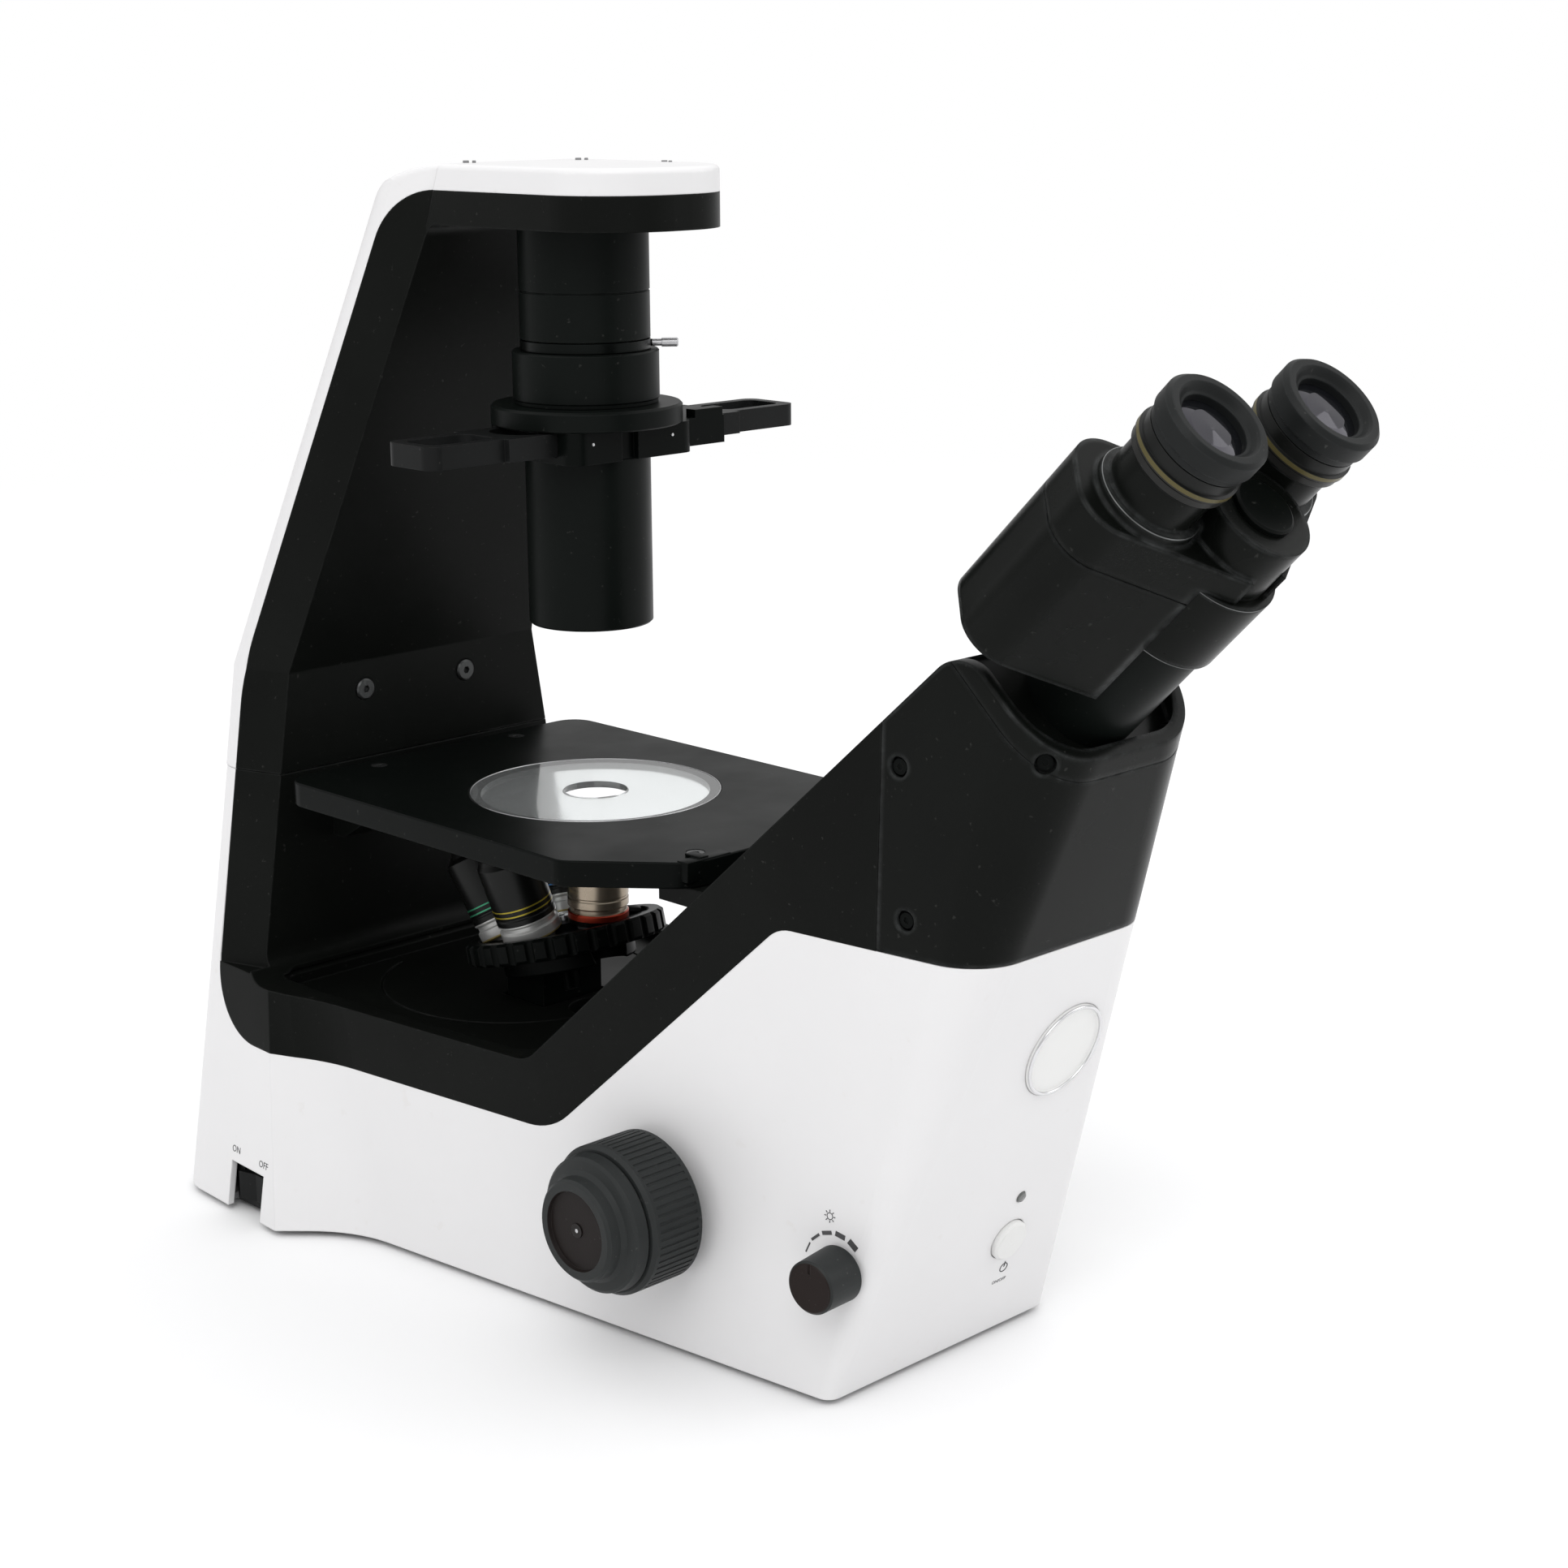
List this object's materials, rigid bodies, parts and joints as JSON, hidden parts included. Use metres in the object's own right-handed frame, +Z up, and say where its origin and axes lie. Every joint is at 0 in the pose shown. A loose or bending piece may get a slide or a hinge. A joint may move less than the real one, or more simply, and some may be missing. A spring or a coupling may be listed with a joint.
{
  "type": "inverted microscope",
  "caption": "Inverted laboratory microscope: binocular head, stage over a tilted objective turret, overhead lamp column with condenser and phase slider, coaxial focus knobs.",
  "frame": {"origin": "on the bench, under the middle of the whole stand with its binocular head", "axes": "+Z up, -Y towards the user at the eyepieces, +X to the user's right"},
  "size_m": [0.2406, 0.5407, 0.467],
  "materials": {
    "white_shell": "satin off-white paint",
    "black_casting": "satin black paint",
    "black_metal": "satin black anodised",
    "black_plastic": "fine satin moulding",
    "rubber": "matt",
    "steel": "brushed",
    "chrome": "bright",
    "glass": "coated optical glass",
    "mirror": "front surfaced",
    "led": "clear blue",
    "objective_metal": "satin",
    "plate_grey": "satin grey"
  },
  "bodies": {
    "stand": {"base_shell": "white_shell", "bottom_plate": "plate_grey", "rubber_feet": "rubber", "main_frame": "black_casting", "tower_cover": "black_casting", "tower_screws": "steel", "pillar_frame": "black_casting", "pillar_cover": "white_shell", "stage_plate": "black_metal", "cap_screws": "steel", "stage_brackets": "black_casting", "stage_insert": "black_metal", "lamp_tube": "black_metal", "lamp_led": "led", "collector_lens": "glass", "condenser_collar": "black_metal", "iris_blades": "black_metal", "condenser_flange": "black_metal", "slider_holder": "black_metal", "condenser_tube": "black_metal", "condenser_lens": "glass", "guide_rods": "steel", "focus_bushes": "steel", "control_housings": "black_plastic", "led_window": "led", "badge_disc": "chrome", "switch_bezel": "black_plastic", "power_inlet": "black_plastic", "fold_mirror": "mirror", "inner_brackets": "black_casting", "tube_lens": "glass", "bino_mount": "black_metal", "bino_pivot": "steel"},
    "nosepiece_lift": {"nosepiece_carriage": "black_metal", "focus_rack": "steel", "turret_pivot": "steel"},
    "turret": {"objective_turret": "black_metal", "objective_red": "objective_metal", "objective_yellow": "black_metal", "objective_green": "objective_metal", "objective_blue": "black_metal", "port_plug": "black_plastic"},
    "coarse_focus": {"coarse_sleeve": "steel", "coarse_knobs": "black_plastic"},
    "fine_focus": {"fine_shaft": "steel", "fine_knobs": "black_plastic"},
    "slider": {"phase_slider": "black_plastic", "phase_rings": "glass"},
    "aperture_lever": {"aperture_ring": "steel"},
    "brightness": {"brightness_knob": "black_plastic"},
    "button": {"push_button": "black_plastic"},
    "power_switch": {"power_rocker": "black_plastic"},
    "left_arm": {"prism_housing_left": "black_casting"},
    "right_arm": {"prism_housing_right": "black_casting"},
    "left_dioptre": {"eyepiece_left": "black_metal", "eye_ring_left": "rubber", "eye_lens_left": "glass"},
    "right_dioptre": {"eyepiece_right": "black_metal", "eye_ring_right": "rubber", "eye_lens_right": "glass"}
  },
  "joints": [
    {"name": "focus_lift", "type": "slide", "parent": "stand", "child": "nosepiece_lift", "axis": [0, 0, 1], "range_m": [-0.0015, 0.007]},
    {"name": "turret_turn", "type": "hinge", "parent": "nosepiece_lift", "child": "turret", "pos_m": [0, 0.12185, 0.13353], "axis": [0, 0.2588, 0.9659], "continuous": true},
    {"name": "coarse_turn", "type": "hinge", "parent": "stand", "child": "coarse_focus", "pos_m": [0, -0.0218, 0.0648], "axis": [1, 0, 0], "range_deg": [-14.33, 66.85]},
    {"name": "fine_turn", "type": "hinge", "parent": "stand", "child": "fine_focus", "pos_m": [0, -0.0218, 0.0648], "axis": [1, 0, 0], "continuous": true},
    {"name": "slider_slide", "type": "slide", "parent": "stand", "child": "slider", "axis": [1, 0, 0], "range_m": [-0.035, 0.035]},
    {"name": "aperture_turn", "type": "hinge", "parent": "stand", "child": "aperture_lever", "pos_m": [0, 0.0977, 0.3933], "axis": [0, 0, 1], "range_deg": [-35, 35]},
    {"name": "brightness_turn", "type": "hinge", "parent": "stand", "child": "brightness", "pos_m": [-0.06185, -0.1123, 0.0585], "axis": [-0.9935, -0.1142, 0], "range_deg": [-150, 150]},
    {"name": "button_press", "type": "slide", "parent": "stand", "child": "button", "axis": [0, 0.9468, 0.3219], "range_m": [0, 0.002], "stiffness_N_per_m": 400},
    {"name": "rocker_tip", "type": "hinge", "parent": "stand", "child": "power_switch", "pos_m": [-0.10744, 0.2102, 0.0135], "axis": [0, 0, 1], "range_deg": [-16, 0]},
    {"name": "left_arm_swing", "type": "hinge", "parent": "stand", "child": "left_arm", "pos_m": [0, -0.27008, 0.38002], "axis": [0, -0.7071, 0.7071], "range_deg": [-16.5, 23.1]},
    {"name": "right_arm_swing", "type": "hinge", "parent": "stand", "child": "right_arm", "pos_m": [0, -0.27008, 0.38002], "axis": [0, -0.7071, 0.7071], "range_deg": [-23.1, 16.5]},
    {"name": "left_dioptre_turn", "type": "hinge", "parent": "left_arm", "child": "left_dioptre", "pos_m": [-0.0321, -0.2557, 0.3944], "axis": [0, -0.7071, 0.7071], "range_deg": [-120, 120]},
    {"name": "right_dioptre_turn", "type": "hinge", "parent": "right_arm", "child": "right_dioptre", "pos_m": [0.0321, -0.2557, 0.3944], "axis": [0, -0.7071, 0.7071], "range_deg": [-120, 120]}
  ],
  "couplings": [
    {"joint": "coarse_turn", "follows": "focus_lift", "rad_per_m": 166.67},
    {"joint": "right_arm_swing", "follows": "left_arm_swing", "ratio": -1}
  ]
}
